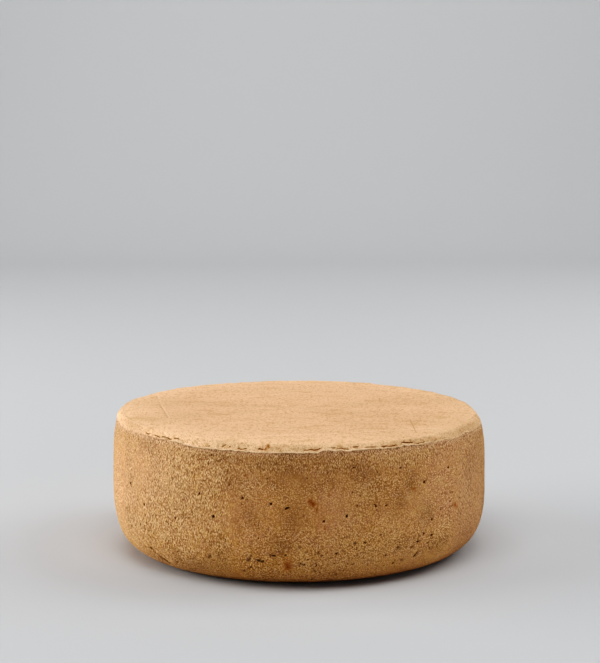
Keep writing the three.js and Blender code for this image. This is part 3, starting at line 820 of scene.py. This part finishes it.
def crumbCells(name):
    # rounded cells: how far from the middle, and a chance value for each
    scale, *stretch = rindFinish["cells"][name]
    away = addNode("TexVoronoi", {"Vector": stretched(*stretch), "Scale": scale}, "Distance")
    return away, addNode("SeparateColor", {"Color": away.node.outputs["Color"]}, "Red")


def spread(value, low, high, least=0, most=1):
    inputs = {"Value": value, "From Min": low, "From Max": high, "To Min": least, "To Max": most}
    return addNode("MapRange", inputs, "Result", interpolation_type="SMOOTHSTEP")


def inRange(name, value):
    return spread(value, *rindFinish["ranges"][name])


def combine(operation, first, *others):
    for other in others:
        first = addNode("Math", {0: first, 1: other}, "Value", operation=operation)
    return first


def times(*values):
    return combine("MULTIPLY", *values)


def plus(*values):
    return combine("ADD", *values)


def largest(*values):
    return combine("MAXIMUM", *values)


def opposite(value, share=1):
    # what a share of the value leaves of 1
    return combine("SUBTRACT", 1, times(value, share))


def drift(name):
    # noise that swings about 0, to move a stain's edge
    noise, amount = rindFinish["drifts"][name]
    return times(combine("SUBTRACT", skin[noise], 0.5), amount)


def blendValue(first, second, share):
    return addNode("Mix", {"Factor": share, "A": first, "B": second}, "Result")


def tint(base, color, amount, blend="MIX"):
    # the mix node's sockets for two colours are its 6 and 7, and 2 gives the result
    return addNode("Mix", {0: amount, 6: base, 7: color}, 2, data_type="RGBA", blend_type=blend)


def cover(color, share, blend="MIX"):
    skin["color"] = tint(skin["color"], color, share, blend)


def coat(name, value, *shares):
    # one more thin coat of colour, where the value is in its range
    paint, amount, *limits = rindFinish["coats"][name]
    if limits:
        value = spread(value, *limits)
    cover(rindFinish[paint], times(value, *shares, amount))


def vectorStep(operation, first, second, output="Vector"):
    return addNode("VectorMath", {0: first, 1: second}, output, operation=operation)


def foldLine(startX, startY, endX, endY, width):
    # 1 along the middle of a fold, 0 beyond its width
    start, end = Vector((startX, startY, 0)) * mm, Vector((endX, endY, 0)) * mm
    along = end - start
    offset = vectorStep("SUBTRACT", skin["flat"], start)
    reach = vectorStep("DOT_PRODUCT", offset, along / along.length_squared, "Value")
    share = addNode("Clamp", {"Value": reach}, "Result")
    nearest = addNode("VectorMath", {0: along, "Scale": share}, "Vector", operation="SCALE")
    away = vectorStep("SUBTRACT", offset, nearest)
    return spread(addNode("VectorMath", {0: away}, "Value", operation="LENGTH"), width * mm, 0)


def skinFields(masks):
    # the places, masks and noises that the coats share
    finish = rindFinish
    skin["coords"] = addNode("TexCoord", {}, "Object")
    skin["flat"] = vectorStep("MULTIPLY", skin["coords"], (1, 1, 0))
    skin["height"] = addNode("SeparateXYZ", {"Vector": skin["coords"]}, "Z")
    for name in masks:
        skin[name] = addNode("Attribute", {}, "Fac", attribute_name=name)
    for name in finish["noises"]:
        skin[name] = fieldNoise(name)
    for name in finish["cells"]:
        skin[name + "Away"], skin[name + "Chance"] = crumbCells(name)
    # grain is drawn out upright where the cloth dragged
    skin["cells"] = blendValue(skin["crumbAway"], skin["tallCrumbAway"], skin["upright"])
    skin["grain"] = blendValue(skin["grain"], skin["tallGrain"], skin["upright"])
    skin["side"] = opposite(skin["topShare"])
    skin["low"] = times(inRange("low", skin["height"]), skin["side"])
    bandRough = times(skin["band"], finish["bandRough"])
    edgeRough = times(skin["rimEdge"], skin["topShare"], finish["edgeRough"])
    skin["rough"] = largest(skin["side"], bandRough, edgeRough)
    # where the crust is rubbed smoother, its grain is weaker
    flatter = opposite(skin["calm"], finish["calm"])
    skin["strength"] = times(skin["rough"], inRange("worn", skin["worn"]), flatter)


def driftingColors():
    # slow drifts of colour, then small patches of other browns
    finish, side = rindFinish, skin["side"]
    skin["color"] = tint(finish["tan"], finish["topTan"], skin["topShare"])
    coat("band", skin["band"])
    # pinker patches, partly painted sheen on the lit sides, and yellower ones, partly painted warm
    # reflection on the shaded front
    for name in ("rosy", "yellowed"):
        coat(name, plus(skin[name], drift(name)), side)
    lowHoney, honeyLow = times(skin["low"], finish["lowHoney"]), times(skin["honeyLow"], finish["honeyLow"])
    coat("honeyed", plus(lowHoney, honeyLow, drift("honeyed")), side)
    # paler low down, partly painted light from the floor
    coat("paleLow", skin["paleLow"], side)
    # duller patches, partly painted shadow
    skin["dull"] = times(inRange("dull", plus(skin["dull"], drift("dull"))), side)
    coat("dull", skin["dull"])
    coat("dusty", plus(skin["dusty"], drift("dusty")), side)
    for name in ("straw", "plum"):
        coat(name, skin["patchy"], side)
    coat("underLip", skin["underLip"])
    # the bevel paler still: painted light, so that the sloping bevel shows as bright as the flat top
    coat("bevel", skin["bevel"], skin["rimEdge"])


def crustGrain():
    # pale crumbs, and dark pores between them
    finish, top, low, bevel = rindFinish, skin["topShare"], skin["low"], skin["bevel"]
    coarse, strength = skin["coarse"], skin["strength"]
    coarser = largest(bevel, skin["underLip"], times(coarse, finish["coarse"]))
    amount = plus(times(coarser, finish["coarseCrumb"]), 1 - finish["coarseCrumb"])
    grain, cells = times(skin["grain"], finish["grainShare"]), times(skin["cells"], finish["cellShare"])
    knobbly = combine("SUBTRACT", grain, cells)
    crumbColor = tint(finish["crumb"], finish["bevelCrumb"], bevel)
    cover(crumbColor, times(inRange("crumbs", knobbly), strength, amount))
    coat("tips", knobbly, strength, opposite(low, finish["fewerTipsLow"]))
    calmed = largest(opposite(low, finish["fewerPoresLow"]), coarse)
    openTop = combine("SUBTRACT", top, times(skin["rimEdge"], finish["edgeOpen"]))
    closed = opposite(inRange("openTop", openTop), finish["topClosed"])
    openBevel = opposite(bevel, finish["bevelClosed"])
    porous = times(inRange("porous", knobbly), strength, calmed, closed, amount, openBevel)
    cover(tint(finish["pore"], finish["bandPore"], top), porous)
    # painted shadow: the duller patches are darkened further by a grey multiply
    cover(finish["shade"], skin["dull"], "MULTIPLY")
    # single dark pores, more of them low down
    moreLow, moreCoarse = times(low, finish["morePoresLow"]), times(coarse, finish["morePoresCoarse"])
    chance = inRange("poreChance", plus(skin["poreChance"], moreLow, moreCoarse))
    coat("pores", skin["poreAway"], chance, skin["rough"])
    # coarser crumbs and hollows where the cloth bit deepest
    for name in ("hollows", "lumps"):
        coat(name, skin["lumpy"], coarse, skin["side"])


def topMarks():
    # freckles, dots, smudges and folds all over the smooth top
    top = skin["topShare"]
    for name in ("freckles", "paler"):
        coat(name, skin["speckled"], top)
    coat("dots", skin["dotAway"], inRange("dotChance", skin["dotChance"]), top)
    coat("smudges", skin["cloudy"], top)
    gaps = inRange("gaps", skin["gaps"])
    folds = {}
    for kind, name in ((1, "lightFolds"), (-1, "darkFolds")):
        lines = [foldLine(*fold[:-1]) for fold in rindFinish["folds"] if fold[-1] == kind]
        folds[name] = times(largest(*lines), top, gaps)
        coat(name, folds[name])
    skin["folds"] = combine("SUBTRACT", folds["lightFolds"], folds["darkFolds"])
    # small brown specks all round the rim
    coat("specks", skin["speckAway"], inRange("speckChance", skin["speckChance"]), skin["rimEdge"], top)
    # the darker rim: wear, and on the front right painted shadow
    coat("weathered", skin["weathered"], top)


def rimAndPits():
    # the lip's pale line, partly pale crust and partly a painted highlight, and short dark splits along the
    # rim with a brown stain about them
    finish = rindFinish
    # the pale lip line: partly pale crust, partly a painted highlight along the rim's edge
    coat("lip", skin["grain"], skin["lip"])
    coat("torn", plus(skin["splinters"], times(skin["fray"], finish["frayShare"])))
    coat("crack", plus(times(skin["crack"], finish["crackShare"]), drift("crack")))
    # dirt in the pits, the side darker towards the foot, then the pits' dark colour, partly painted shade,
    # and the rust
    ragged = drift("ragged")
    foot = times(inRange("foot", skin["height"]), skin["side"], finish["footDarkening"])
    coat("dirt", plus(skin["dirt"], drift("dirt"), foot, ragged))
    # the pits' dark colour: partly their own dark inside, partly painted shade
    pitColor = tint(finish["pitBlack"], finish["pitOlive"], skin["low"])
    cover(pitColor, inRange("pit", plus(skin["pit"], ragged)))
    for name in ("rust", "rustHeart"):
        coat(name, plus(skin["rust"], drift("rust"), drift("rustGrain")))


def skinBump():
    share = largest(skin["strength"], rindFinish["leastBump"])
    skin["crumbTop"] = opposite(skin["cells"])
    heights = {name: times(skin[name], share) for name in ("small", "crumbTop", "grain", "fine")}
    heights["speckled"] = times(skin["speckled"], skin["topShare"])
    heights["folds"] = skin["folds"]
    below = {}
    for name, height in heights.items():
        distance, strength = rindFinish["bumps"][name]
        inputs = {"Height": height, "Distance": distance, "Strength": strength, **below}
        below = {"Normal": addNode("Bump", inputs, "Normal")}
    return below["Normal"]


def paintRind(masks):
    skinFields(masks)
    driftingColors()
    crustGrain()
    topMarks()
    rimAndPits()
    tree = rind.node_tree
    tree.links.new(skin["color"], rindShader.inputs["Base Color"])
    tree.links.new(skinBump(), rindShader.inputs["Normal"])
    print("rind material made:", len(tree.nodes), "nodes")


def makeWheel():
    points, faces, masks = wheelMesh()
    mesh = makeMesh("cheeseWheel", points.tolist(), faces)
    for name, values in masks.items():
        layer = mesh.attributes.new(name, "FLOAT", "POINT")
        layer.data.foreach_set("value", values.astype(np.float32))
    paintRind(masks)
    mesh.materials.append(rind)
    triangles = sum(len(face) - 2 for face in faces)
    print("wheel made:", len(points), "points,", triangles, "triangles")
    return addPiece("cheeseWheel", mesh)


wheelPiece = makeWheel()
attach(wheelPiece, "root")
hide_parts("wheel")


# one bent sheet of paper for floor and wall, softboxes, and dim air
studio = {
    # metres and watts
    "floorWidth": 9.0, "floorFront": -8.0, "floorBack": 1.9, "bend": 1.2, "bendSteps": 24, "wallTop": 3.4,
    "paper": (0.499, 0.501, 0.504, 1), "paperRoughness": 0.95, "paperSpecular": 0.1,
    "air": (0.21, 0.30, 0.42, 1), "airStrength": 0.10,
    # name, where it hangs, where it aims, width and height, watts, colour
    "lamps": [
        ("keySoftbox", (-1.75, 0.22, 0.75), (0, 0, 0.05), (1.6, 1.6), 9.2, (1, 1, 1)),
        ("lowKeyBox", (-1.75, 0.10, 0.35), (0, 0, 0.05), (1.6, 0.7), 37.4, (1, 1, 1)),
        ("fillSoftbox", (1.75, 0.32, 0.70), (0, 0, 0.05), (0.9, 1.3), 8.0, (0.94, 0.96, 1)),
        ("highFill", (1.5, 0.10, 1.6), (0, 0, 0), (1.2, 1.2), 14.6, (1, 1, 1)),
        ("rimBox", (1.3, 1.0, 0.8), (0, 0, 0.05), (1.0, 1.0), 3.2, (1, 1, 1)),
        ("topSoftbox", (-0.15, -0.78, 1.88), (0, -0.10, 0), (1.4, 1.6), 22.2, (1, 1, 1)),
        ("frontFill", (1.2, -1.9, 0.5), (0, 0, 0.05), (1.0, 0.8), 10.6, (0.88, 0.94, 1)),
        ("wallWash", (0.0, 1.3, 2.6), (0, 3.1, 1.1), (3.0, 0.6), 49.6, (1, 1, 1)),
    ],
}


def makeSweep():
    profile = [(studio["floorFront"], 0.0), (studio["floorBack"], 0.0)]
    for step in range(1, studio["bendSteps"] + 1):
        turn = math.pi / 2 * step / studio["bendSteps"]
        profile.append((studio["floorBack"] + studio["bend"] * math.sin(turn),
                        studio["bend"] * (1 - math.cos(turn))))
    profile.append((studio["floorBack"] + studio["bend"], studio["wallTop"]))
    half = studio["floorWidth"] / 2
    points = []
    for y, z in profile:
        points += [(-half, y, z), (half, y, z)]
    faces = [(2 * k, 2 * k + 1, 2 * k + 3, 2 * k + 2) for k in range(len(profile) - 1)]
    mesh = makeMesh("paperSweep", points, faces)
    paper, shader = makeMaterial("palePaper", studio["paperRoughness"], studio["paperSpecular"])
    shader.inputs["Base Color"].default_value = studio["paper"]
    mesh.materials.append(paper)
    addPiece("paperSweep", mesh)


def makeLamps():
    for name, place, aim, size, watts, color in studio["lamps"]:
        light = bpy.data.lights.new(name, "AREA")
        light.shape = "RECTANGLE"
        light.size, light.size_y = size
        light.energy = watts
        light.color = color
        holder = addPiece(name, light)
        holder.location = place
        direction = Vector(aim) - Vector(place)
        holder.rotation_euler = direction.to_track_quat("-Z", "Y").to_euler()
    world = bpy.data.worlds.new("studioAir")
    world.use_nodes = True
    background = world.node_tree.nodes["Background"]
    background.inputs["Color"].default_value = studio["air"]
    background.inputs["Strength"].default_value = studio["airStrength"]
    bpy.context.scene.world = world


# metres and radians; the lens in pixels of the render, the sensor in mm
cameraSetup = {
    "distance": 1.2, "height": 0.31213, "pitchDown": 0.138, "roll": -0.004,
    "focalPixels": 1807.4, "longSidePixels": 663, "sensor": 36.0, "sideShift": 0.00204,
}


def makeCamera():
    setup = cameraSetup
    lens = bpy.data.cameras.new("studioCamera")
    lens.sensor_width = setup["sensor"]
    lens.lens = setup["focalPixels"] / setup["longSidePixels"] * setup["sensor"]
    lens.shift_x = setup["sideShift"]
    camera = addPiece("studioCamera", lens)
    place = Matrix.Translation((0, -setup["distance"], setup["height"]))
    tilt = Matrix.Rotation(math.pi / 2 - setup["pitchDown"], 4, "X")
    camera.matrix_world = place @ tilt @ Matrix.Rotation(setup["roll"], 4, "Z")
    bpy.context.scene.camera = camera


# straight colour, with the soft toe that a camera gives to its dark tones
toneCurve = {
    # darker in, darker out
    "toe": [(0.032, 0.005), (0.064, 0.020), (0.106, 0.055), (0.155, 0.110), (0.216, 0.186), (0.274, 0.260),
            (0.372, 0.380)],
    "end": (1.0, 0.98),
}


def setTone():
    view = bpy.context.scene.view_settings
    view.view_transform = "Standard"
    view.use_curve_mapping = True
    curve = view.curve_mapping.curves[3]        # the one for all colours together
    for place in toneCurve["toe"]:
        curve.points.new(*place)
    curve.points[-1].location = toneCurve["end"]
    view.curve_mapping.update()


makeSweep()
makeLamps()
makeCamera()
setTone()
print("studio made: sweep,", len(studio["lamps"]), "lamps and camera")
